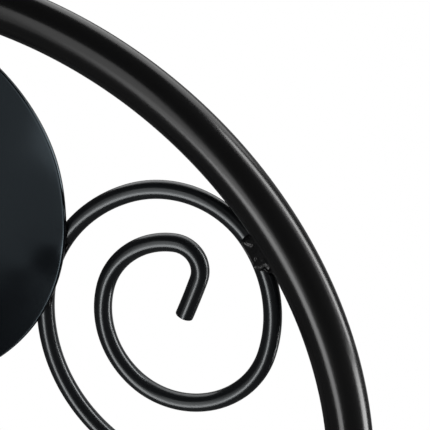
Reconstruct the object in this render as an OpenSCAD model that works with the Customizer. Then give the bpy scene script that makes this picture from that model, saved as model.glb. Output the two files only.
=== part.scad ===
// Arch-topped garden trellis in two sections, pushed into the soil on two stakes.
// X is the width, Y runs front to back, and Z is up from the stakes' points.

/* [Frame] */
// Outside diameter of the arch tube and the legs
tube_d = 20; // [16:1:25]
// Wall of the tube
tube_wall = 1.5; // [1:0.1:2.5]
// Radius of the arch, to the middle of the tube
arch_r = 215; // [190:5:250]
// Height of the arch's top above the soil
frame_height = 1500; // [1300:10:1800]
// Height of the joint between the two sections above the soil
joint_height = 750; // [600:10:900]
// Length of the swaged spigot that joins the sections
spigot_length = 40; // [30:5:60]
// Bevel on the shoulder and end of the spigot
spigot_bevel = 1; // [0.5:0.1:1.4]
// Radial clearance of a spigot or plug inside the tube
plug_clearance = 0.1; // [0.05:0.05:0.3]

/* [Rods] */
// Diameter of the rod that the scrolls and rails are made of
rod_d = 8; // [6:0.5:10]
// Diameter of the upright rods
upright_d = 8; // [5:0.5:10]
// How far the scrolls and rails lie behind the middle of the tube
rod_setback = 5; // [3:0.5:6]
// Distance from the section joint to the nearest rail, up or down
joint_rail_distance = 40; // [35:5:80]
// Height of the lowest rail above the soil
foot_rail_height = 70; // [50:5:120]

/* [Centre plate] */
// Diameter of the round plate
plate_d = 170; // [150:5:190]
// Thickness of the round plate
plate_t = 2; // [1.5:0.5:3]
// Rounding of the plate's front rim
plate_rim_round = 0.6; // [0.3:0.1:1]

/* [Scrolls] */
// Where the scroll touches the arch, in degrees above the horizontal
weld_angle = 36.2; // [33:0.1:39]
// How far inside the plate's rim the scroll's rod passes
plate_lap = 6; // [4:0.5:8]
// Length of rod that lies flat along the rail at the scroll's foot
scroll_foot = 20; // [10:1:30]

/* [Ground stakes] */
// Diameter of the stake's shank
stake_d = 12; // [10:1:14]
// Length of the stake below the soil line, point included
stake_length = 180; // [150:5:250]
// Length of the stake's point
point_length = 28; // [20:1:40]
// Diameter of the blunt tip
tip_d = 2; // [1:0.5:3]
// Thickness of the collar that the leg stands on
collar_t = 3; // [2:0.5:5]
// Length of the plug inside the leg
plug_length = 40; // [30:5:60]

/* [Screws] */
// Thread diameter of the screws
screw_d = 5; // [4:0.5:6]
// Extra diameter of the holes for the screws
screw_hole_play = 0.5; // [0.3:0.1:1]
// Diameter of the screw's domed head
screw_head_d = 9.5; // [9:0.5:12]
// Height of the screw's domed head
screw_head_h = 3; // [2:0.5:4]
// Width of the cap nut across its flats
nut_across_flats = 8; // [8:0.5:10]
// Height of the cap nut's six-sided part
nut_hex_h = 4; // [3:0.5:6]
// Height of the cap nut's dome above the six-sided part
nut_dome_h = 4; // [3.5:0.5:5]
// Length of thread inside the cap nut
nut_grip = 5.5; // [4:0.5:6]
// Extra diameter of the cap nut's thread over the screw
thread_play = 0.1; // [0.05:0.05:0.2]
// Gap between the screw's end and the bottom of the nut's thread
nut_bottom_gap = 0.5; // [0.2:0.1:0.8]

/* [Hidden] */
$fn = 48;

black_paint = [0.06, 0.06, 0.065];

// Bends of the scroll, as [radius, degrees], going both ways from where it touches the arch:
// down into the curl, whose end is nearly straight, and over the crown to the tail, which ends level.
// All of them are scaled by one fit factor, so that the rod passes behind the plate's rim.
curl_bends = [[62, 49], [36, 118], [43, 62], [30, 79], [12, 105], [350, 3]];
crown_bends = [[45, 74], [58, 65]];
// Heading of the rod where it passes deepest behind the plate
deepest_heading = 254;

// Radii, and the heights of the main levels
tube_r = tube_d / 2;
bore_r = tube_r - tube_wall;
plug_r = bore_r - plug_clearance;
rod_r = rod_d / 2;
upright_r = upright_d / 2;
plate_r = plate_d / 2;
soil_z = stake_length;
arch_z = soil_z + frame_height - arch_r - tube_r;
joint_z = soil_z + joint_height;
leg_bottom_z = soil_z + collar_t;

// Front to back places: the plate and the uprights touch the front of the scrolls and rails
plate_back_y = rod_setback - rod_r;
upright_y = rod_setback - rod_r - upright_r;
plate_near_y = max(0, -plate_back_y, plate_back_y - plate_t);

// The plate hangs from the inside of the arch, this far above the arch's centre
plate_rise = arch_r - sqrt(tube_r ^ 2 - plate_near_y ^ 2) - plate_r;

// In the scroll's plane, from the arch's centre: where its rod just touches the arch tube
contact_r = arch_r - sqrt((tube_r + rod_r) ^ 2 - rod_setback ^ 2);
contact = contact_r * [cos(weld_angle), sin(weld_angle)];
contact_heading = weld_angle + 90;
crown_heading = contact_heading + crown_bends[0][1] + crown_bends[1][1];
tail_bend = [77, 360 - crown_heading];

// Where a rod gets to after one bend: [x, z, heading]. It turns left where side is 1, right where it is -1.
function after(p, bend, side) = [
    p[0] + side * bend[0] * (sin(p[2] + side * bend[1]) - sin(p[2])),
    p[1] - side * bend[0] * (cos(p[2] + side * bend[1]) - cos(p[2])),
    p[2] + side * bend[1]
];
function stops(p, bends, side, i = 0) =
    i == len(bends) ? [p] : concat([p], stops(after(p, bends[i], side), bends, side, i + 1));
function last(list) = list[len(list) - 1];
function scaled(bends, k) = [for (b = bends) [round(b[0] * k * 100) / 100, b[1]]];

// The ring where two bends meet: how far it stands out of the rod, and its width
mark_proud = 0.02;
mark_width = 0.4;

// Fit factor: where the rod passes deepest behind the plate, it lies plate_lap inside the rim
deepest_bends = [crown_bends[0], [crown_bends[1][0], deepest_heading - contact_heading - crown_bends[0][1]]];
edge_point = last(stops([0, 0, contact_heading], deepest_bends, 1));
fit_a = edge_point[0] ^ 2 + edge_point[1] ^ 2;
fit_b = contact[0] * edge_point[0] + (contact[1] - plate_rise) * edge_point[1];
fit_c = contact[0] ^ 2 + (contact[1] - plate_rise) ^ 2 - (plate_r - plate_lap) ^ 2;
scroll_fit = (-fit_b - sqrt(fit_b ^ 2 - fit_a * fit_c)) / fit_a;

inner_path = scaled(curl_bends, scroll_fit);
outer_path = scaled(concat(crown_bends, [tail_bend]), scroll_fit);
tail_end = last(stops([contact[0], contact[1], contact_heading], outer_path, 1));

// Rails: the scrolls stand on the first one, and the rest share out each section
scroll_rail_z = arch_z + tail_end[1] - rod_d;
upper_bottom_z = joint_z + joint_rail_distance;
upper_middle_z = (scroll_rail_z + upper_bottom_z) / 2;
lower_top_z = joint_z - joint_rail_distance;
foot_rail_z = soil_z + foot_rail_height;
lower_rail_step = (lower_top_z - foot_rail_z) / 3;
upright_pitch = arch_r / 2;

// Screws through the spigots and the stake plugs
joint_screw_z = joint_z + spigot_length / 2;
stake_screw_z = leg_bottom_z + plug_length / 2;
screw_hole_d = screw_d + screw_hole_play;

// The faint ring that the bender leaves where one bend runs into the next, which makes the two one rod
module bend_mark(p) {
    translate([p[0], 0, p[1]]) rotate([0, 90 - p[2], 0])
        cylinder(d = rod_d + 2 * mark_proud, h = mark_width, center = true);
}

// A rod bent through a row of tangent arcs in the XZ plane
module bent_rod(start, bends, side) {
    places = stops(start, bends, side);
    for (i = [0 : len(bends) - 1]) {
        p = places[i];
        radius = bends[i][0];
        angle = bends[i][1];
        translate([p[0] - side * radius * sin(p[2]), 0, p[1] + side * radius * cos(p[2])]) rotate([90, 0, 0])
            rotate_extrude(angle = angle, start = side > 0 ? p[2] - 90 : p[2] + 90 - angle)
                translate([radius, 0]) circle(d = rod_d);
        if (i > 0) bend_mark(p);
    }
}

module scroll() {
    start = [contact[0], contact[1], contact_heading];
    color(black_paint) translate([0, rod_setback, arch_z]) {
        bent_rod(start, outer_path, 1);
        bent_rod([start[0], start[1], start[2] + 180], inner_path, -1);
        bend_mark(start);
        translate([tail_end[0], 0, tail_end[1]]) rotate([0, 90, 0]) cylinder(d = rod_d, h = scroll_foot);
        bend_mark(tail_end);
    }
}

module right_scroll() {
    scroll();
}

module left_scroll() {
    mirror([1, 0, 0]) scroll();
}

// A straight bore or shaft along X through one leg
module across_leg(side, z, d) {
    translate([side * arch_r, 0, z]) rotate([0, 90, 0]) cylinder(d = d, h = 2 * tube_d, center = true);
}

// The bent tube: half a circle on two straight sides, open at both ends
module frame_bend(radius) {
    translate([0, 0, arch_z]) rotate([90, 0, 0])
        rotate_extrude(angle = 180, $fn = 96) translate([arch_r, 0]) circle(r = radius);
    for (side = [-1, 1])
        translate([side * arch_r, 0, joint_z]) cylinder(r = radius, h = arch_z - joint_z);
}

module arch_tube() {
    color(black_paint) difference() {
        frame_bend(tube_r);
        frame_bend(bore_r);
        for (side = [-1, 1]) across_leg(side, joint_screw_z, screw_hole_d);
    }
}

// The lower leg: a tube whose top is swaged down to a spigot
module leg(side) {
    spigot_top = joint_z + spigot_length;
    color(black_paint) difference() {
        translate([side * arch_r, 0, 0]) rotate_extrude() polygon([
            [bore_r, leg_bottom_z], [tube_r, leg_bottom_z], [tube_r, joint_z - spigot_bevel],
            [tube_r - spigot_bevel, joint_z], [plug_r, joint_z],
            [plug_r, spigot_top - spigot_bevel], [plug_r - spigot_bevel, spigot_top],
            [plug_r - tube_wall, spigot_top], [plug_r - tube_wall, joint_z - spigot_bevel],
            [bore_r, joint_z - spigot_bevel - tube_wall]
        ]);
        across_leg(side, joint_screw_z, screw_hole_d);
        across_leg(side, stake_screw_z, screw_hole_d);
    }
}

module left_leg() {
    leg(-1);
}

module right_leg() {
    leg(1);
}

// The stake: a plug for the leg, a collar that rests on the soil, a round shank and a point
module stake(side) {
    plug_top = leg_bottom_z + plug_length;
    color(black_paint) difference() {
        translate([side * arch_r, 0, 0]) rotate_extrude() polygon([
            [0, 0], [tip_d / 2, 0], [stake_d / 2, point_length], [stake_d / 2, soil_z],
            [tube_r, soil_z], [tube_r, leg_bottom_z], [plug_r, leg_bottom_z],
            [plug_r, plug_top - spigot_bevel], [plug_r - spigot_bevel, plug_top], [0, plug_top]
        ]);
        across_leg(side, stake_screw_z, screw_hole_d);
    }
}

module left_stake() {
    stake(-1);
}

module right_stake() {
    stake(1);
}

// The plate: a flat disc with its front rim rounded, against the front of the scrolls
module centre_plate() {
    color(black_paint) translate([0, plate_back_y, arch_z + plate_rise]) rotate([90, 0, 0])
        rotate_extrude($fn = 96) {
        square([plate_r, plate_t - plate_rim_round]);
        square([plate_r - plate_rim_round, plate_t]);
        translate([plate_r - plate_rim_round, plate_t - plate_rim_round]) intersection() {
            circle(r = plate_rim_round);
            square(plate_rim_round);
        }
    }
}

// A rail between the legs, its ends cut to the round of the tube
module rail(z) {
    color(black_paint) difference() {
        translate([0, rod_setback, z]) rotate([0, 90, 0]) cylinder(d = rod_d, h = 2 * arch_r, center = true);
        for (side = [-1, 1])
            translate([side * arch_r, 0, z - rod_d]) cylinder(r = tube_r, h = 2 * rod_d);
    }
}

module scroll_rail() {
    rail(scroll_rail_z);
}

module upper_middle_rail() {
    rail(upper_middle_z);
}

module upper_bottom_rail() {
    rail(upper_bottom_z);
}

module lower_top_rail() {
    rail(lower_top_z);
}

module lower_second_rail() {
    rail(lower_top_z - lower_rail_step);
}

module lower_third_rail() {
    rail(lower_top_z - 2 * lower_rail_step);
}

module foot_rail() {
    rail(foot_rail_z);
}

// An upright in front of the rails, flush with the edges of the rails at its ends
module upright(x, bottom_z, top_z) {
    color(black_paint) translate([x, upright_y, bottom_z - rod_r])
        cylinder(d = upright_d, h = top_z - bottom_z + 2 * rod_r);
}

module upper_left_upright() {
    upright(-upright_pitch, upper_bottom_z, scroll_rail_z);
}

// The middle upright goes on up to the plate and stands under its rim
module upper_centre_upright() {
    upright(0, upper_bottom_z, arch_z + plate_rise - plate_r - rod_r);
}

module upper_right_upright() {
    upright(upright_pitch, upper_bottom_z, scroll_rail_z);
}

module lower_left_upright() {
    upright(-upright_pitch, foot_rail_z, lower_top_z);
}

module lower_centre_upright() {
    upright(0, foot_rail_z, lower_top_z);
}

module lower_right_upright() {
    upright(upright_pitch, foot_rail_z, lower_top_z);
}

// Puts one fastener at each of the four screw places, with X pointing out of the frame
module at_screws() {
    for (z = [joint_screw_z, stake_screw_z]) {
        translate([arch_r, 0, z]) children();
        mirror([1, 0, 0]) translate([arch_r, 0, z]) children();
    }
}

// A screw: domed head outside the leg, shank through the leg and into the cap nut
module frame_screws() {
    dome_r = (screw_head_d ^ 2 / 4 + screw_head_h ^ 2) / (2 * screw_head_h);
    color(black_paint) at_screws() {
        translate([tube_r, 0, 0]) rotate([0, 90, 0]) intersection() {
            cylinder(d = screw_head_d, h = screw_head_h);
            translate([0, 0, screw_head_h - dome_r]) sphere(r = dome_r, $fn = 64);
        }
        translate([-tube_r - nut_grip, 0, 0]) rotate([0, 90, 0])
            cylinder(d = screw_d, h = tube_d + nut_grip);
    }
}

// A cap nut: six-sided base against the inside of the leg, closed by a dome
module cap_nuts() {
    dome_r = nut_across_flats / 2;
    dome_z = nut_hex_h + nut_dome_h - dome_r;
    color(black_paint) at_screws() translate([-tube_r, 0, 0]) rotate([0, -90, 0]) difference() {
        union() {
            cylinder(d = nut_across_flats / cos(30), h = nut_hex_h, $fn = 6);
            rotate_extrude() {
                square([dome_r, dome_z]);
                translate([0, dome_z]) intersection() {
                    circle(r = dome_r);
                    square(dome_r);
                }
            }
        }
        translate([0, 0, -1]) cylinder(d = screw_d + thread_play, h = nut_grip + nut_bottom_gap + 1);
    }
}

arch_tube();
left_leg();
right_leg();
left_stake();
right_stake();
centre_plate();
left_scroll();
right_scroll();
scroll_rail();
upper_middle_rail();
upper_bottom_rail();
lower_top_rail();
lower_second_rail();
lower_third_rail();
foot_rail();
upper_left_upright();
upper_centre_upright();
upper_right_upright();
lower_left_upright();
lower_centre_upright();
lower_right_upright();
frame_screws();
cap_nuts();
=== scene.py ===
import math
import bmesh
import bpy
from mathutils import Matrix, Vector, noise


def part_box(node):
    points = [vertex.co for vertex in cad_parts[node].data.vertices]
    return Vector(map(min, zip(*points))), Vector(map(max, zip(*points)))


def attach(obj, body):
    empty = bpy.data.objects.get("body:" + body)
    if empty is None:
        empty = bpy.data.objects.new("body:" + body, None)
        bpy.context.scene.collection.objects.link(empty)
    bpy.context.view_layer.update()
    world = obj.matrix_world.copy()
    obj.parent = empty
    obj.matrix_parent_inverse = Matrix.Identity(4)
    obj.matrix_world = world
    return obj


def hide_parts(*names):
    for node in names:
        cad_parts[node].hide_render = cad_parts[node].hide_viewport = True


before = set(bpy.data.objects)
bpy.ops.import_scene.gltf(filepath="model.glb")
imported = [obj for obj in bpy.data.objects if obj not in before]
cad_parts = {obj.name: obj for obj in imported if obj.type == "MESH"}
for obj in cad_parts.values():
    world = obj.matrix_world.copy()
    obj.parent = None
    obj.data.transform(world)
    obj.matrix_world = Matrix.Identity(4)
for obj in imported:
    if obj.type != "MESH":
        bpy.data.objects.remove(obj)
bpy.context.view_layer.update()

# Camera: close to the right shoulder of the arch, a little to the right of it and above it,
# looking down past the tube, the scroll and the edge of the plate.
camera_place = Vector((0.197956, -0.289408, 1.668256))
camera_side, camera_height, camera_roll = (math.radians(a) for a in (9.66, 15.7773, 2.8872))


def add_object(name, data):
    made = bpy.data.objects.new(name, data)
    bpy.context.scene.collection.objects.link(made)
    return made


camera_back = Vector((math.sin(camera_side) * math.cos(camera_height),
                      -math.cos(camera_side) * math.cos(camera_height),
                      math.sin(camera_height)))
level_right = camera_back.cross(Vector((0, 0, -1))).normalized()
level_up = camera_back.cross(level_right)
camera_right = math.cos(camera_roll) * level_right + math.sin(camera_roll) * level_up
camera_up = camera_back.cross(camera_right)
camera_data = bpy.data.cameras.new("camera")
camera_data.sensor_width = 36
camera_data.lens = 62.79
camera_data.clip_start = 0.01
camera = add_object("camera", camera_data)
camera.matrix_world = Matrix.Translation(camera_place) @ Matrix(
    (camera_right, camera_up, camera_back)).transposed().to_4x4()
bpy.context.scene.camera = camera
bpy.context.scene.view_settings.view_transform = "Standard"

# Studio lamps: three softboxes in front, one above the other, with a fill to the left of them for
# the plate, three tall strips on the right, a wide dim one behind and one overhead. They draw the
# lines of light along the tubes and rods.
shoulder, plate_side, frame_middle = (0.15, 0, 1.55), (0.07, 0, 1.635), (0, 0, 1.3)
for name, place, aim, width, height, power in (
        ("front_softbox", (-0.14, -1.12, 1.605), shoulder, 0.62, 1.02, 2.6),
        ("front_mid_softbox", (-0.125, -1.11, 1.29), shoulder, 0.50, 0.42, 0.6),
        ("front_low_softbox", (-0.129, -0.911, 1.0), shoulder, 0.32, 0.45, 2.4),
        ("left_fill_softbox", (-0.606, -0.93, 1.635), plate_side, 0.385, 0.94, 0.5),
        ("right_softbox", (1.28, 0.43, 2.025), shoulder, 0.32, 1.29, 9.3),
        ("right_low_softbox", (1.202, 0.133, 1.12), shoulder, 0.44, 0.66, 6.6),
        ("right_edge_softbox", (1.395, 0.109, 2.1), shoulder, 0.3, 1.2, 1.2),
        ("back_softbox", (0.2, 2.3, 1.3), frame_middle, 2.8, 2.4, 4.5),
        ("overhead_softbox", (0.1, 0.96, 2.7), shoulder, 2.4, 1.1, 13)):
    lamp = bpy.data.lights.new(name, "AREA")
    lamp.shape = "RECTANGLE"
    lamp.size = width
    lamp.size_y = height
    lamp.energy = power
    softbox = add_object(name, lamp)
    softbox.location = place
    softbox.rotation_euler = (Vector(aim) - Vector(place)).to_track_quat("-Z", "Y").to_euler()
    softbox.visible_camera = False

# World: white behind everything that the camera sees. Mirror rays and rays through glass find the
# same backdrop much dimmer, as in a dark studio, so the black paint stays black between the lines
# of light, and plain light rays find a dim room.
white = (1, 1, 1, 1)
room_glow = 0.023
mirrored_glow = 0.007


def add(tree, kind, values=None, **choices):
    """Adds a node to a tree: choices are its own options, values go on its sockets."""
    node = tree.nodes.new(kind)
    for option, choice in choices.items():
        setattr(node, option, choice)
    for socket, value in (values or {}).items():
        node.inputs[socket].default_value = value
    return node


def wire(tree, *pairs):
    for source, socket in pairs:
        tree.links.new(source, socket)


def calc(tree, operation, *values):
    """A sum in a tree, worked out from sockets and plain numbers."""
    step = add(tree, "ShaderNodeMath", operation=operation)
    for place, value in enumerate(values):
        if isinstance(value, (int, float)):
            step.inputs[place].default_value = value
        else:
            tree.links.new(value, step.inputs[place])
    return step.outputs[0]


def mirrored(tree, rays):
    """1 for rays that come off a shiny surface or through glass."""
    return calc(tree, "MAXIMUM", rays["Is Glossy Ray"], rays["Is Transmission Ray"])


world = bpy.data.worlds.new("studio")
bpy.context.scene.world = world
world.use_nodes = True
room = world.node_tree
room.nodes.clear()
room_rays = add(room, "ShaderNodeLightPath").outputs
room_dim = calc(room, "MULTIPLY_ADD", mirrored(room, room_rays), mirrored_glow, room_glow)
room_light = add(room, "ShaderNodeBackground", {"Color": white})
room_out = add(room, "ShaderNodeOutputWorld")
wire(room, (calc(room, "MAXIMUM", room_rays["Is Camera Ray"], room_dim), room_light.inputs["Strength"]),
     (room_light.outputs["Background"], room_out.inputs["Surface"]))

# Floor: a plain pale floor under the points of the stakes. It shows the soft shadow round the stakes
# and turns to the white of the backdrop further out.
floor_reach = 8
near_white = 0.82
floor_mesh = bpy.data.meshes.new("floor")
floor_corners = [(floor_reach * x, floor_reach * y, 0) for x, y in ((-1, -1), (1, -1), (1, 1), (-1, 1))]
floor_mesh.from_pydata(floor_corners, [], [(0, 1, 2, 3)])
floor = add_object("floor", floor_mesh)
floor_paint = bpy.data.materials.new("pale_floor")
floor_paint.use_nodes = True
floor_tree = floor_paint.node_tree
floor_tree.nodes.clear()
floor_rays = add(floor_tree, "ShaderNodeLightPath").outputs
floor_spot = add(floor_tree, "ShaderNodeTexCoord")
floor_distance = add(floor_tree, "ShaderNodeVectorMath", operation="LENGTH")
floor_fade = add(floor_tree, "ShaderNodeMapRange", {
    "From Min": 0.5, "From Max": 1.8, "To Min": near_white, "To Max": 1}, interpolation_type="SMOOTHSTEP")
floor_mirror = add(floor_tree, "ShaderNodeMapRange", {"From Min": near_white, "To Min": 0.10, "To Max": 0.05})
floor_lit = add(floor_tree, "ShaderNodeBsdfDiffuse", {"Color": (0.86, 0.86, 0.86, 1)})
floor_white = add(floor_tree, "ShaderNodeEmission", {"Color": white, "Strength": 1})
floor_dim = add(floor_tree, "ShaderNodeEmission", {"Color": white})
camera_mix = add(floor_tree, "ShaderNodeMixShader")
mirror_mix = add(floor_tree, "ShaderNodeMixShader")
floor_out = add(floor_tree, "ShaderNodeOutputMaterial")
wire(floor_tree,
     (floor_spot.outputs["Object"], floor_distance.inputs[0]),
     (floor_distance.outputs["Value"], floor_fade.inputs["Value"]),
     (floor_fade.outputs["Result"], floor_mirror.inputs["Value"]),
     (floor_mirror.outputs["Result"], floor_dim.inputs["Strength"]),
     (calc(floor_tree, "MULTIPLY", floor_rays["Is Camera Ray"], floor_fade.outputs["Result"]),
      camera_mix.inputs["Fac"]),
     (floor_lit.outputs["BSDF"], camera_mix.inputs[1]),
     (floor_white.outputs["Emission"], camera_mix.inputs[2]),
     (mirrored(floor_tree, floor_rays), mirror_mix.inputs["Fac"]),
     (camera_mix.outputs["Shader"], mirror_mix.inputs[1]),
     (floor_dim.outputs["Emission"], mirror_mix.inputs[2]),
     (mirror_mix.outputs["Shader"], floor_out.inputs["Surface"]))
floor_mesh.materials.append(floor_paint)

# Ground stakes: 12 mm steel bar turned to a point, with a collar welded under the leg and a plug above
# it that fits inside the leg. Baked on over the bare steel is the black powder coat of the whole frame.


def new_tree(name, kind, takes, gives):
    """A node group with named sockets, returned with its inputs and outputs as its nodes see them."""
    tree = bpy.data.node_groups.new(name, kind)
    for in_out, sockets in (("INPUT", takes), ("OUTPUT", gives)):
        for socket, sort in sockets.items():
            tree.interface.new_socket(socket, in_out=in_out, socket_type="NodeSocket" + sort)
    return tree, add(tree, "NodeGroupInput").outputs, add(tree, "NodeGroupOutput").inputs


PEEL, peel_in, peel_out = new_tree(
    "powder_coat_peel", "ShaderNodeTree",
    {"Peel Scale": "Float", "Peel Depth": "Float", "Lowest Roughness": "Float", "Highest Roughness": "Float"},
    {"Roughness": "Float", "Normal": "Vector"})
peel_spot = add(PEEL, "ShaderNodeTexCoord")
peel_noise = add(PEEL, "ShaderNodeTexNoise", {"Detail": 2})
peel_bump = add(PEEL, "ShaderNodeBump", {"Distance": 0.0001})
flow_noise = add(PEEL, "ShaderNodeTexNoise", {"Scale": 35, "Detail": 3})
flow_range = add(PEEL, "ShaderNodeMapRange", {"From Min": 0.3, "From Max": 0.7})
wire(PEEL,
     (peel_spot.outputs["Object"], peel_noise.inputs["Vector"]),
     (peel_spot.outputs["Object"], flow_noise.inputs["Vector"]),
     (peel_in["Peel Scale"], peel_noise.inputs["Scale"]),
     (peel_in["Peel Depth"], peel_bump.inputs["Strength"]),
     (peel_noise.outputs["Fac"], peel_bump.inputs["Height"]),
     (flow_noise.outputs["Fac"], flow_range.inputs["Value"]),
     (peel_in["Lowest Roughness"], flow_range.inputs["To Min"]),
     (peel_in["Highest Roughness"], flow_range.inputs["To Max"]),
     (flow_range.outputs["Result"], peel_out["Roughness"]),
     (peel_bump.outputs["Normal"], peel_out["Normal"]))


def black_coat(name, colour, sheen, peel_scale, peel_depth, roughness, gloss=0):
    """Black powder coat with an orange peel. Sheen tints its shine, and gloss lays a clear skin on it."""
    coat = bpy.data.materials.new(name)
    coat.use_nodes = True
    tree = coat.node_tree
    paint = tree.nodes["Principled BSDF"]
    paint.inputs["Base Color"].default_value = (*colour, 1)
    paint.inputs["IOR"].default_value = 1.5
    paint.inputs["Specular Tint"].default_value = (*sheen, 1)
    paint.inputs["Coat Weight"].default_value = gloss
    paint.inputs["Coat Roughness"].default_value = 0.13
    paint.inputs["Coat IOR"].default_value = 1.3
    peel = add(tree, "ShaderNodeGroup", {
        "Peel Scale": peel_scale, "Peel Depth": peel_depth,
        "Lowest Roughness": roughness[0], "Highest Roughness": roughness[1]}, node_tree=PEEL)
    wire(tree, (peel.outputs["Roughness"], paint.inputs["Roughness"]),
         (peel.outputs["Normal"], paint.inputs["Normal"]))
    return coat


def repaint(node, coat):
    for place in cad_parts[node].material_slots:
        place.material = coat


stake_coat = black_coat("stake_black_coat", (0.010, 0.010, 0.0105), (1, 1, 1), 700, 0.10, (0.26, 0.36))
for node in ("left_stake", "right_stake"):
    repaint(node, stake_coat)

# Legs: 20 mm steel tube, swaged at the top to a spigot that fits up inside the arch.
# Their powder coat is the smooth, fairly shiny one of the whole tube frame.
tube_coat = black_coat("tube_black_coat", (0.0085, 0.0085, 0.0088), (1, 1, 1), 520, 0.015, (0.19, 0.23))
for node in ("left_leg", "right_leg"):
    repaint(node, tube_coat)

# Arch: the same tube in one length, bent to half a circle over two straight sides.
# A bender rolls it, so it is drawn here as a round section swept along the bend line.
SWEEP, sweep_in, sweep_out = new_tree(
    "swept_round_section", "GeometryNodeTree",
    {"Bend Line": "Geometry", "Radius": "Float", "Facets": "Int", "Closed Ends": "Bool", "Coat": "Material"},
    {"Piece": "Geometry"})


def girth_in(tree):
    """The share of the full thickness that each point of a bend line carries."""
    girth = add(tree, "GeometryNodeInputNamedAttribute", {"Name": "girth"}, data_type="FLOAT")
    return girth.outputs["Attribute"]


def end_tree(tree, shape, coat, piece):
    """Ends a tree: the shape smooth, real and coated."""
    smooth = add(tree, "GeometryNodeSetShadeSmooth")
    whole = add(tree, "GeometryNodeRealizeInstances")
    coated = add(tree, "GeometryNodeSetMaterial")
    wire(tree, (shape, smooth.inputs["Geometry"]),
         (smooth.outputs["Geometry"], whole.inputs["Geometry"]),
         (whole.outputs["Geometry"], coated.inputs["Geometry"]),
         (coat, coated.inputs["Material"]), (coated.outputs["Geometry"], piece))


bend_line = add(SWEEP, "GeometryNodeMeshToCurve")
section = add(SWEEP, "GeometryNodeCurvePrimitiveCircle")
sweep = add(SWEEP, "GeometryNodeCurveToMesh")
wire(SWEEP,
     (sweep_in["Bend Line"], bend_line.inputs["Mesh"]),
     (sweep_in["Radius"], section.inputs["Radius"]),
     (sweep_in["Facets"], section.inputs["Resolution"]),
     (bend_line.outputs["Curve"], sweep.inputs["Curve"]),
     (section.outputs["Curve"], sweep.inputs["Profile Curve"]),
     (girth_in(SWEEP), sweep.inputs["Scale"]),
     (sweep_in["Closed Ends"], sweep.inputs["Fill Caps"]))
end_tree(SWEEP, sweep.outputs["Mesh"], sweep_in["Coat"], sweep_out["Piece"])


def grow(name, lines, tree, settings):
    """Runs a tree on bend lines, each a list of (point, girth), and keeps the result as a plain mesh."""
    points = [point for line in lines for point in line]
    joins, first = [], 0
    for line in lines:
        joins += [(first + i, first + i + 1) for i in range(len(line) - 1)]
        first += len(line)
    mesh = bpy.data.meshes.new(name + "_line")
    mesh.from_pydata([place for place, _ in points], joins, [])
    girths = mesh.attributes.new("girth", "FLOAT", "POINT")
    girths.data.foreach_set("value", [girth for _, girth in points])
    piece = add_object(name, mesh)
    maker = piece.modifiers.new(name, "NODES")
    maker.node_group = tree
    for item in tree.interface.items_tree:
        if item.item_type == "SOCKET" and item.in_out == "INPUT" and item.name in settings:
            maker[item.identifier] = settings[item.name]
    bpy.context.view_layer.update()
    grown = bpy.data.meshes.new_from_object(piece.evaluated_get(bpy.context.evaluated_depsgraph_get()))
    piece.modifiers.clear()
    piece.data = grown
    grown.name = name
    if "girth" in grown.attributes:
        grown.attributes.remove(grown.attributes["girth"])
    return piece


def outward(piece, sharp=35):
    """Turns every face outwards and keeps edges sharper than the given angle crisp."""
    shell = bmesh.new()
    shell.from_mesh(piece.data)
    bmesh.ops.remove_doubles(shell, verts=shell.verts, dist=1e-6)
    bmesh.ops.recalc_face_normals(shell, faces=shell.faces)
    shell.to_mesh(piece.data)
    shell.free()
    piece.data.set_sharp_from_angle(angle=math.radians(sharp))


arch_low, arch_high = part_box("arch_tube")
tube_r = 0.010
tube_wall = 0.0015
arch_r = round(arch_high.x, 4) - tube_r
arch_centre = round(arch_high.z, 3) - arch_r - tube_r
joint_z = round(arch_low.z, 4)
side_steps = 12
side_run = [joint_z + (arch_centre - joint_z) * i / side_steps for i in range(side_steps)]
arch_line = [((-arch_r, 0, z), 1) for z in side_run]
arch_line += [((-arch_r * math.cos(a), 0, arch_centre + arch_r * math.sin(a)), 1)
              for a in (math.radians(degrees) for degrees in range(181))]
arch_line += [((arch_r, 0, z), 1) for z in reversed(side_run)]
arch = grow("bent_arch_tube", [arch_line], SWEEP,
            {"Radius": tube_r, "Facets": 72, "Closed Ends": False, "Coat": tube_coat})
wall = arch.modifiers.new("wall", "SOLIDIFY")
wall.thickness = tube_wall
wall.offset = -1
outward(arch)
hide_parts("arch_tube")
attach(arch, "root")

# Rails: straight 8 mm rods across the frame behind the middle of the tube, their ends cut to its
# round. Their coat lies a little rougher and bluer than the tube's, under a thin gloss.
rod_coat = black_coat("rod_black_coat", (0.0085, 0.0095, 0.011), (0.9, 0.97, 1), 640, 0.015, (0.26, 0.32), 1)
RAILS = ("scroll_rail", "upper_middle_rail", "upper_bottom_rail",
         "lower_top_rail", "lower_second_rail", "lower_third_rail", "foot_rail")
for node in RAILS:
    repaint(node, rod_coat)

# Uprights: straight 8 mm rods in front of the rails, sawn off level and with their rims eased.
# The middle one of the upper section goes on up to the plate.
UPRIGHTS = [part + place + "_upright"
            for part in ("upper_", "lower_") for place in ("left", "centre", "right")]
rod_r = 0.004
rim_round = 0.0005
upright_y = -0.003
up = Vector((0, 0, 1))


def eased_end(end, into, radius, ease):
    """Points from the middle of a cut end inwards, over its eased rim, as (point, girth)."""
    steps = [math.radians(a) for a in (0, 22.5, 45, 67.5, 90)]
    return [(end + into * ease * (1 - math.cos(a)), (radius - ease * (1 - math.sin(a))) / radius)
            for a in steps]


for node in UPRIGHTS:
    low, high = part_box(node)
    x = round((low.x + high.x) / 2, 5)
    foot = eased_end(Vector((x, upright_y, low.z)), up, rod_r, rim_round)
    head = eased_end(Vector((x, upright_y, high.z)), -up, rod_r, rim_round)
    upright = grow(node + "_rod", [foot + head[::-1]], SWEEP,
                   {"Radius": rod_r, "Facets": 40, "Closed Ends": True, "Coat": rod_coat})
    outward(upright)
    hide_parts(node)
    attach(upright, "root")

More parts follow.
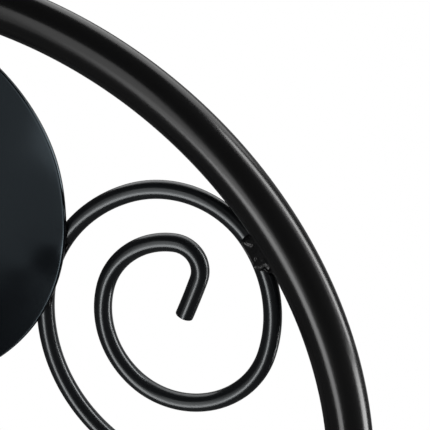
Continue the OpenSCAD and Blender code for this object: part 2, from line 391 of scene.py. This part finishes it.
# Scrolls: one 8 mm rod each, bent cold through a row of tangent bends. It rolls inwards from the weld
# on the arch to a sawn end, and over the crown, behind the plate and down to a foot on the top rail.
scroll_fit = 0.999419   # share of the written radii at which the rod passes right behind the plate's rim
scroll_y = 0.005
scroll_foot = 0.020
scroll_start = (0.162944, 1.574257, 126.2)   # touching point, and heading up along the rod
curl_bends = ((62, 49), (36, 118), (43, 62), (30, 79), (12, 105), (350, 3))   # millimetres, degrees
crown_bends = ((45, 74), (58, 65), (77, 94.8))


def bent_line(start, bends, side, step=0.0012):
    """Places along a row of tangent bends, as (x, z, heading), turning left where side is 1."""
    x, z, heading = start
    places = [start]
    for radius, angle in bends:
        radius *= scroll_fit / 1000
        count = max(4, round(radius * math.radians(angle) / step))
        from_heading = math.radians(heading)
        for i in range(1, count + 1):
            turn = heading + side * angle * i / count
            places.append((x + side * radius * (math.sin(math.radians(turn)) - math.sin(from_heading)),
                           z - side * radius * (math.cos(math.radians(turn)) - math.cos(from_heading)),
                           turn))
        x, z, heading = places[-1]
    return places


def scroll_line(mirror):
    """Middle of a whole scroll's rod, from the sawn end of the curl to the end of the foot."""
    curl = bent_line((*scroll_start[:2], scroll_start[2] + 180), curl_bends, -1)
    crown = bent_line(scroll_start, crown_bends, 1)
    run = [Vector((mirror * x, scroll_y, z)) for x, z, _ in curl[::-1] + crown[1:]]
    foot_end = run[-1] + Vector((mirror * scroll_foot, 0, 0))
    start = eased_end(run[0], (run[1] - run[0]).normalized(), rod_r, rim_round)
    stop = eased_end(foot_end, Vector((-mirror, 0, 0)), rod_r, rim_round)
    return start + [(place, 1) for place in run[1:]] + stop[::-1]


for side, mirror in (("left", -1), ("right", 1)):
    scroll = grow(side + "_scroll_rod", [scroll_line(mirror)], SWEEP,
                  {"Radius": rod_r, "Facets": 44, "Closed Ends": True, "Coat": rod_coat})
    outward(scroll)
    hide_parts(side + "_scroll")
    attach(scroll, "root")

# Plate: a 2 mm steel disc, blanked from sheet that the press has dished a little, its front rim
# ground to a steep bevel. It is welded to the arch at the top and to both scrolls behind, and the
# heat of those welds has pulled its face out of true on either side.
plate_coat = black_coat("plate_black_coat", (0.0035, 0.0040, 0.0055), (0.7, 0.88, 1), 420, 0.02, (0.11, 0.13))
plate_low, plate_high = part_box("centre_plate")
plate_r = 0.085
plate_z = round((plate_low.z + plate_high.z) / 2, 4)
plate_front, plate_back = round(plate_low.y, 4), round(plate_high.y, 4)
rim_bends = [(radius, math.radians(start), math.radians(end)) for radius, start, end in (
    (0.0003, 0, 58), (0.0035, 58, 72), (0.0003, 72, 90))]   # from the face outwards: radius, tilts
rim_steps = 5
back_ease = 0.0002
back_rings = (0.98, 0.9, 0.7, 0.45, 0.2)   # shares of the plate's radius
face_rings, face_share = 34, 0.985
plate_turns = 180
dish = 0.0020
heat_dents = (   # place across and up from the plate's middle, depth, reach
    (0.0980, 0.0280, 0.00100, 0.0280), (0.0880, 0.0070, -0.00120, 0.0180),
    (0.0800, -0.0130, -0.00030, 0.0080), (0.0650, -0.0225, -0.00008, 0.0070),
    (0.0765, -0.0130, 0.00005, 0.0025), (0.0762, -0.0235, 0.00003, 0.0015))


def keep_shell(name, shell, coat):
    """Keeps a shell of faces as a smooth piece in its coat."""
    mesh = bpy.data.meshes.new(name)
    shell.to_mesh(mesh)
    shell.free()
    mesh.materials.append(coat)
    mesh.shade_smooth()
    return add_object(name, mesh)


profile = [(plate_r * i / face_rings * face_share, plate_front) for i in range(1, face_rings + 1)]
r = plate_r - sum(radius * (math.sin(end) - math.sin(start)) for radius, start, end in rim_bends)
y = plate_front
for radius, start, end in rim_bends:
    for a in (start + (end - start) * i / rim_steps for i in range(rim_steps)):
        profile.append((r + radius * (math.sin(a) - math.sin(start)),
                        y + radius * (math.cos(start) - math.cos(a))))
    r += radius * (math.sin(end) - math.sin(start))
    y += radius * (math.cos(start) - math.cos(end))
profile.append((plate_r, y))
profile += [(plate_r - back_ease * (1 - math.cos(a)), plate_back - back_ease * (1 - math.sin(a)))
            for a in (math.radians(degrees) for degrees in range(0, 91, 30))]
profile += [(plate_r * share, plate_back) for share in back_rings]
disc = bmesh.new()
front_pole = disc.verts.new((0, plate_front, plate_z))
back_pole = disc.verts.new((0, plate_back, plate_z))
rings = [[disc.verts.new((r * math.cos(math.tau * i / plate_turns), y,
                          plate_z + r * math.sin(math.tau * i / plate_turns)))
          for i in range(plate_turns)] for r, y in profile]
for i in range(plate_turns):
    j = (i + 1) % plate_turns
    disc.faces.new((front_pole, rings[0][i], rings[0][j]))
    disc.faces.new((back_pole, rings[-1][j], rings[-1][i]))
    for inner, outer in zip(rings, rings[1:]):
        disc.faces.new((inner[i], outer[i], outer[j], inner[j]))
for v in disc.verts:
    off_centre = Vector((v.co.x, v.co.z - plate_z))
    v.co.y += dish * (1 - (off_centre.length / plate_r) ** 2)
    for mirror in (-1, 1):
        for x, z, depth, reach in heat_dents:
            away = off_centre - Vector((mirror * x, z))
            v.co.y += depth * math.exp(-(away.length / reach) ** 2)
plate = keep_shell("blanked_plate", disc, plate_coat)
outward(plate, sharp=50)
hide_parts("centre_plate")
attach(plate, "root")

# Scroll welds: a flat puddle of weld metal in the groove where each scroll lies against the arch,
# run down from the touching point over the face of the rod. Its ends are lips left by the last drops.
weld_coat = black_coat("weld_black_coat", (0.006, 0.006, 0.0065), (1, 1, 1), 1400, 0.08, (0.22, 0.32))
puddle_rows, puddle_columns = 110, 46
puddle_top, puddle_foot = 0.0034, -0.0128   # along the rod, up from where it touches the arch
tube_side, rod_side = 0.0086, 0.0036        # its edges, across from the tube's and the rod's middle
root_y, root_in_rod, root_in_tube = 0.0048, 0.0004, 0.0016
hidden_end = 0.0030   # length of it below the foot, inside the rod and the tube
skin = 0.00012        # how far its thin edges lie below their surface
face_y, face_across, face_slope = -0.00368, 0.0093, 0.55
fall_from, fall_run, fall_depth, fall_power = 0.0016, 0.0018, 0.0034, 1.6   # over the far side of the rod
foot_turn, foot_slope, foot_bow = 0.0009, 0.55, 250   # a slope on the tube's side of the turn, else a curve
top_peak, top_bow = -0.001, 90
lip_run = 0.0014      # length over which either end rises to full height
fine_rough, coarse_rough = (0.00004, 900), (0.00014, 330)   # height and fineness of the roughness
ripple_height, ripple_pitch, ripple_bow = 0.00002, 0.0013, 60
puddle_lumps = (   # place along the rod, place across from the rod's middle, lift, reach
    (0.0023, -0.0009, -0.00040, 0.0006), (-0.0066, -0.0002, 0.00030, 0.0008),
    (-0.0078, -0.0016, 0.00022, 0.0010), (-0.0045, -0.0024, 0.00018, 0.0012))
# Each fold: depth, slope and reach of the level ground by it, then its own lift, half width and line
puddle_folds = (
    (-0.0019, 0.00, 0.0009, 0.00020, 0.0007,
     ((0.0021, 0.0004), (0.0008, 0.0001), (-0.0002, -0.0006), (-0.0006, -0.0018))),
    (-0.0009, 0.30, 0.0007, 0.00020, 0.0005,
     ((-0.0062, -0.0004), (-0.0070, -0.0001))),
    (-0.0009, 0.19, 0.0009, 0.00030, 0.00045,
     ((-0.0096, 0.0023), (-0.0104, 0.0011), (-0.0107, -0.0002), (-0.0103, -0.0030), (-0.0123, -0.0034))))


def off_fold(along, off, line):
    """Distance from a place on the weld's face to the line of a fold."""
    spot, nearest = Vector((along, off)), 1
    for one, two in zip(line, line[1:]):
        one, two = Vector(one), Vector(two)
        part = min(max((spot - one).dot(two - one) / (two - one).length_squared, 0), 1)
        nearest = min(nearest, (one.lerp(two, part) - spot).length)
    return nearest


def rod_place(along):
    """Middle of the scroll's rod a length along it, up from the touching point, as (x, z)."""
    radius, side, turned_back = (crown_bends[0][0], 1, 0) if along > 0 else (curl_bends[0][0], -1, 180)
    angle = math.degrees(abs(along) / radius / scroll_fit * 1000)
    start = (*scroll_start[:2], scroll_start[2] + turned_back)
    return bent_line(start, [(radius, angle)], side)[-1][:2]


def surface_y(off, radius, middle_y):
    """Front of a round bar at a place off its middle, or the depth of the scroll's middle beside it."""
    return middle_y - math.sqrt(max(radius ** 2 - off ** 2, 0)) if off < radius else scroll_y


def puddle_front(along, across, middle):
    """Depth of the weld's face at a place across the groove; across counts from the tube's middle."""
    off = across - middle
    under = min(surface_y(abs(off), rod_r, scroll_y), surface_y(across, tube_r, 0)) + skin
    fall = fall_depth * (max(0, off - fall_from) / fall_run) ** fall_power
    face = face_y + face_slope * (across - face_across) + fall
    for depth, slope, reach, lift, width, line in puddle_folds:
        apart = off_fold(along, off, line)
        ground = depth + slope * off - lift * math.exp(-(apart / width) ** 2)
        face += math.exp(-(apart / reach) ** 4) * (ground - face)
    turn = off - foot_turn
    foot = puddle_foot + (foot_slope * turn if turn < 0 else foot_bow * turn ** 2)
    top = puddle_top - top_bow * (off - top_peak) ** 2
    full = min(max(min(top - along, along - foot) / lip_run, 0), 1)
    full = full * full * (3 - 2 * full)
    lumps = sum(lift * math.exp(-((along - at) ** 2 + (off - side) ** 2) / reach ** 2)
                for at, side, lift, reach in puddle_lumps)
    rough = (fine_rough[0] * noise.noise(Vector((along, off, 0)) * fine_rough[1])
             + coarse_rough[0] * noise.noise(Vector((off, along, 3)) * coarse_rough[1]))
    ripple = ripple_height * math.sin((along - ripple_bow * off ** 2) * math.tau / ripple_pitch)
    return under + full * (min(face, under) - under - lumps + ripple + rough)


for side, mirror in (("left", -1), ("right", 1)):
    puddle = bmesh.new()
    rows = []
    for i in range(puddle_rows + 1):
        along = puddle_top - (puddle_top - puddle_foot + hidden_end) * i / puddle_rows
        x, z = rod_place(along)
        out = Vector((x, z - arch_centre))
        middle = arch_r - out.length
        out.normalize()
        crossing = [tube_side + (middle + rod_side - tube_side) * j / puddle_columns
                    for j in range(puddle_columns + 1)]
        edge = [(across, puddle_front(along, across, middle)) for across in crossing]
        root = (crossing[-1] - root_in_rod, middle, crossing[0] + root_in_tube)
        edge += [(across, root_y) for across in root]
        rows.append([puddle.verts.new((mirror * out.x * (arch_r - across), y,
                                       arch_centre + out.y * (arch_r - across))) for across, y in edge])
    for one, two in zip(rows, rows[1:]):
        for j in range(len(one)):
            k = (j + 1) % len(one)
            puddle.faces.new((one[j], one[k], two[k], two[j]))
    puddle.faces.new(rows[0])
    puddle.faces.new(rows[-1])
    scroll_weld = keep_shell(side + "_scroll_weld", puddle, weld_coat)
    outward(scroll_weld, sharp=70)
    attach(scroll_weld, "root")

# Bead welds: round the coped ends of the rails, along the scrolls behind the plate, at the top and foot
# of the plate, on the scroll feet and under the stake collars. A torch lays each as a row of ripples.
BEAD, bead_in, bead_out = new_tree(
    "rippled_weld_bead", "GeometryNodeTree",
    {"Bead Line": "Geometry", "Radius": "Float", "Ripple Pitch": "Float", "Ripple Depth": "Float",
     "Wander": "Float", "Coat": "Material"}, {"Piece": "Geometry"})
bead_line = add(BEAD, "GeometryNodeMeshToCurve")
bead_steps = add(BEAD, "GeometryNodeResampleCurve", {"Length": 0.0004}, mode="LENGTH")
bead_length = add(BEAD, "GeometryNodeSplineParameter").outputs["Length"]
bead_noise = add(BEAD, "ShaderNodeTexNoise", {"Scale": 420}).outputs["Fac"]
bead_section = add(BEAD, "GeometryNodeCurvePrimitiveCircle", {"Resolution": 12})
bead_sweep = add(BEAD, "GeometryNodeCurveToMesh", {"Fill Caps": True})
bead_turn = calc(BEAD, "MULTIPLY", calc(BEAD, "DIVIDE", bead_length, bead_in["Ripple Pitch"]), math.tau)
bead_wave = calc(BEAD, "MULTIPLY", calc(BEAD, "SINE", bead_turn), bead_in["Ripple Depth"])
bead_wander = calc(BEAD, "MULTIPLY", calc(BEAD, "SUBTRACT", bead_noise, 0.5), bead_in["Wander"])
bead_swell = calc(BEAD, "MULTIPLY", calc(BEAD, "ADD", bead_wave, 1), calc(BEAD, "ADD", bead_wander, 1))
wire(BEAD,
     (bead_in["Bead Line"], bead_line.inputs["Mesh"]),
     (bead_line.outputs["Curve"], bead_steps.inputs["Curve"]),
     (bead_in["Radius"], bead_section.inputs["Radius"]),
     (bead_steps.outputs["Curve"], bead_sweep.inputs["Curve"]),
     (bead_section.outputs["Curve"], bead_sweep.inputs["Profile Curve"]),
     (calc(BEAD, "MULTIPLY", bead_swell, girth_in(BEAD)), bead_sweep.inputs["Scale"]))
end_tree(BEAD, bead_sweep.outputs["Mesh"], bead_in["Coat"], bead_out["Piece"])
thin_end = 0.3


def middle_of(node):
    """Middle of a node's box, as [x, y, z]."""
    return [(low + high) / 2 for low, high in zip(*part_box(node))]


def ring(step):
    """Angles of a bead that goes round in steps of some degrees and stops just before its own start."""
    return [math.radians(step * i) for i in range(41)]


def tapered(points):
    """A bead line that starts and stops thin, as (point, girth)."""
    last = len(points) - 1
    return [(place, thin_end + (1 - thin_end) * math.sin(math.pi * i / last) ** 0.5)
            for i, place in enumerate(points)]


def weld(name, lines, radius):
    piece = grow(name, lines, BEAD, {"Radius": radius, "Ripple Pitch": 0.0011, "Ripple Depth": 0.08,
                                     "Wander": 0.5, "Coat": weld_coat})
    outward(piece, sharp=80)
    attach(piece, "root")


beside_metal = 0.0003   # how far the middle of a bead stands off the metal it follows
rail_bead_r, rail_bead_back = 0.0045, 0.0088
rail_beads = []
for z in (middle_of(node)[2] for node in RAILS):
    for mirror in (-1, 1):
        line = []
        for around in ring(8.6):
            y = min(scroll_y + rail_bead_r * math.cos(around), rail_bead_back)
            reach = math.sqrt(tube_r ** 2 - y ** 2) + beside_metal
            line.append((Vector((mirror * (arch_r - reach), y, z + rail_bead_r * math.sin(around))), 1))
        rail_beads.append(line)
weld("rail_end_beads", rail_beads, 0.0010)

top_bead_y, top_bead_z, top_bead_bow = 0.0022, 1.6594, 3.5
foot_bead_y, scroll_bead_y = 0.0014, 0.0019
beside_rod, inside_rim = 0.0034, 0.0015
plate_beads = [tapered([Vector((x, top_bead_y, top_bead_z - x ** 2 * top_bead_bow))
                        for x in (i / 1000 for i in range(-8, 9))]),
               tapered([Vector((i / 1000, foot_bead_y, plate_z - plate_r)) for i in range(-3, 4)])]
behind = [(x, z, math.radians(turn)) for x, z, turn in bent_line(scroll_start, crown_bends, 1)
          if math.hypot(x, z - plate_z) < plate_r - inside_rim]
for mirror in (-1, 1):
    for beside in (-beside_rod, beside_rod):
        plate_beads.append(tapered([Vector((mirror * (x - beside * math.sin(turn)), scroll_bead_y,
                                            z + beside * math.cos(turn))) for x, z, turn in behind]))
weld("plate_back_beads", plate_beads, 0.0013)

foot_bead_x, foot_bead_off = 0.151, 0.0027
rail_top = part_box("scroll_rail")[1].z
foot_beads = [tapered([Vector((mirror * (foot_bead_x + i / 1000), y, rail_top)) for i in range(18)])
              for mirror in (-1, 1) for y in (scroll_y - foot_bead_off, scroll_y + foot_bead_off)]
weld("scroll_foot_beads", foot_beads, 0.0012)

collar_foot, stake_r = 0.180, 0.006
collar_bead_r = stake_r + beside_metal
collar_beads = [[(Vector((mirror * arch_r + collar_bead_r * math.cos(around),
                          collar_bead_r * math.sin(around), collar_foot - beside_metal)), 1)
                 for around in ring(8.7)] for mirror in (-1, 1)]
weld("stake_collar_beads", collar_beads, 0.0010)

# Tacks: where an upright crosses a rail, a spot of weld sits in the corner on either side of it.
# Each is a drop of weld metal, a little uneven, under the same coat as the other welds.
TACK, tack_in, tack_out = new_tree(
    "spot_tack", "GeometryNodeTree",
    {"Places": "Geometry", "Radius": "Float", "Unevenness": "Float", "Coat": "Material"},
    {"Piece": "Geometry"})
tack_drop = add(TACK, "GeometryNodeMeshIcoSphere", {"Subdivisions": 4})
tack_spots = add(TACK, "GeometryNodeInstanceOnPoints")
tack_drops = add(TACK, "GeometryNodeRealizeInstances")
tack_noise = add(TACK, "ShaderNodeTexNoise", {"Scale": 380}).outputs["Fac"]
tack_normal = add(TACK, "GeometryNodeInputNormal")
tack_move = add(TACK, "ShaderNodeVectorMath", operation="SCALE")
tack_shape = add(TACK, "GeometryNodeSetPosition")
tack_lift = calc(TACK, "MULTIPLY", calc(TACK, "SUBTRACT", tack_noise, 0.5), tack_in["Unevenness"])
wire(TACK,
     (tack_in["Places"], tack_spots.inputs["Points"]),
     (tack_in["Radius"], tack_drop.inputs["Radius"]),
     (tack_drop.outputs["Mesh"], tack_spots.inputs["Instance"]),
     (tack_spots.outputs["Instances"], tack_drops.inputs["Geometry"]),
     (tack_normal.outputs["Normal"], tack_move.inputs[0]),
     (tack_lift, tack_move.inputs["Scale"]),
     (tack_drops.outputs["Geometry"], tack_shape.inputs["Geometry"]),
     (tack_move.outputs["Vector"], tack_shape.inputs["Offset"]))
end_tree(TACK, tack_shape.outputs["Geometry"], tack_in["Coat"], tack_out["Piece"])
tack_off, tack_y = 0.0031, 0.0004
corners = []
for uprights, rails in ((UPRIGHTS[:3], RAILS[:3]), (UPRIGHTS[3:], RAILS[3:])):
    for x, z in ((middle_of(upright)[0], middle_of(rail)[2]) for upright in uprights for rail in rails):
        corners += [[((x + side * tack_off, tack_y, z), 1)] for side in (-1, 1)]
tacks = grow("crossing_tacks", corners, TACK, {"Radius": 0.0018, "Unevenness": 0.0014, "Coat": weld_coat})
outward(tacks, sharp=80)
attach(tacks, "root")

# Screws: M5 button heads with a hexagon socket, through each joint and each stake plug, and a cap nut
# on the inside of the leg. They are steel, coated black like the frame.
fastener_coat = black_coat("fastener_black_coat", (0.012, 0.012, 0.012), (1, 1, 1), 1100, 0.05, (0.28, 0.38))
SCREW, screw_in, screw_out = new_tree(
    "button_head_screw", "GeometryNodeTree",
    {"Places": "Geometry", "Head Radius": "Float", "Head Height": "Float", "Dome Radius": "Float",
     "Socket Width": "Float", "Socket Depth": "Float", "Shank Radius": "Float", "Shank Length": "Float",
     "Coat": "Material"}, {"Piece": "Geometry"})


def lifted(shape, height):
    """A shape moved up the screw, by a height above the foot of its head."""
    place = add(SCREW, "ShaderNodeCombineXYZ")
    put = add(SCREW, "GeometryNodeTransform")
    wire(SCREW, (height, place.inputs["Z"]), (place.outputs[0], put.inputs["Translation"]),
         (shape.outputs["Mesh"], put.inputs["Geometry"]))
    return put.outputs["Geometry"]


def turned(sides, radius, length, middle):
    """A round or six-sided bar along the screw, its middle at a height above the head's foot."""
    bar = add(SCREW, "GeometryNodeMeshCylinder", {"Vertices": sides})
    wire(SCREW, (radius, bar.inputs["Radius"]), (length, bar.inputs["Depth"]))
    return lifted(bar, middle)


blank = turned(48, screw_in["Head Radius"], screw_in["Head Height"],
               calc(SCREW, "MULTIPLY", screw_in["Head Height"], 0.5))
hexagon = turned(6, calc(SCREW, "DIVIDE", screw_in["Socket Width"], math.sqrt(3)),
                 calc(SCREW, "MULTIPLY", screw_in["Socket Depth"], 2), screw_in["Head Height"])
shank = turned(24, screw_in["Shank Radius"], screw_in["Shank Length"],
               calc(SCREW, "MULTIPLY", screw_in["Shank Length"], -0.5))
ball = add(SCREW, "GeometryNodeMeshUVSphere", {"Segments": 64, "Rings": 48})
dome = lifted(ball, calc(SCREW, "SUBTRACT", screw_in["Head Height"], screw_in["Dome Radius"]))
rounded = add(SCREW, "GeometryNodeMeshBoolean", operation="INTERSECT", solver="EXACT")
socketed = add(SCREW, "GeometryNodeMeshBoolean", operation="DIFFERENCE", solver="EXACT")
screw_join = add(SCREW, "GeometryNodeJoinGeometry")
screw_lay = add(SCREW, "GeometryNodeTransform", {"Rotation": (0, math.pi / 2, 0)})
screw_turn = add(SCREW, "ShaderNodeCombineXYZ")
screw_spots = add(SCREW, "GeometryNodeInstanceOnPoints")
# A screw's girth is 1 where its head faces right, and -1 where it faces left
half_turns = calc(SCREW, "MULTIPLY", calc(SCREW, "SUBTRACT", 1, girth_in(SCREW)), math.pi / 2)
wire(SCREW,
     (screw_in["Dome Radius"], ball.inputs["Radius"]),
     (blank, rounded.inputs["Mesh 2"]), (dome, rounded.inputs["Mesh 2"]),
     (rounded.outputs["Mesh"], socketed.inputs["Mesh 1"]), (hexagon, socketed.inputs["Mesh 2"]),
     (socketed.outputs["Mesh"], screw_join.inputs["Geometry"]), (shank, screw_join.inputs["Geometry"]),
     (screw_join.outputs["Geometry"], screw_lay.inputs["Geometry"]),
     (screw_lay.outputs["Geometry"], screw_spots.inputs["Instance"]),
     (screw_in["Places"], screw_spots.inputs["Points"]),
     (half_turns, screw_turn.inputs["Z"]), (screw_turn.outputs[0], screw_spots.inputs["Rotation"]))
end_tree(SCREW, screw_spots.outputs["Instances"], screw_in["Coat"], screw_out["Piece"])
screw_low, screw_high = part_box("frame_screws")
head_r, head_height = 0.00475, 0.003
screw_r, past_tube = 0.0025, 0.0055
screw_z = (round(screw_low.z + head_r, 4), round(screw_high.z - head_r, 4))
screw_places = [[((side * (arch_r + tube_r), 0, z), side)] for side in (-1, 1) for z in screw_z]
screws = grow("button_head_screws", screw_places, SCREW, {
    "Head Radius": head_r, "Head Height": head_height,
    "Dome Radius": (head_r ** 2 + head_height ** 2) / (2 * head_height),
    "Socket Width": 0.003, "Socket Depth": 0.0016, "Shank Radius": screw_r,
    "Shank Length": 2 * tube_r + past_tube, "Coat": fastener_coat})
outward(screws, sharp=30)
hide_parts("frame_screws")
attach(screws, "root")
repaint("cap_nuts", fastener_coat)
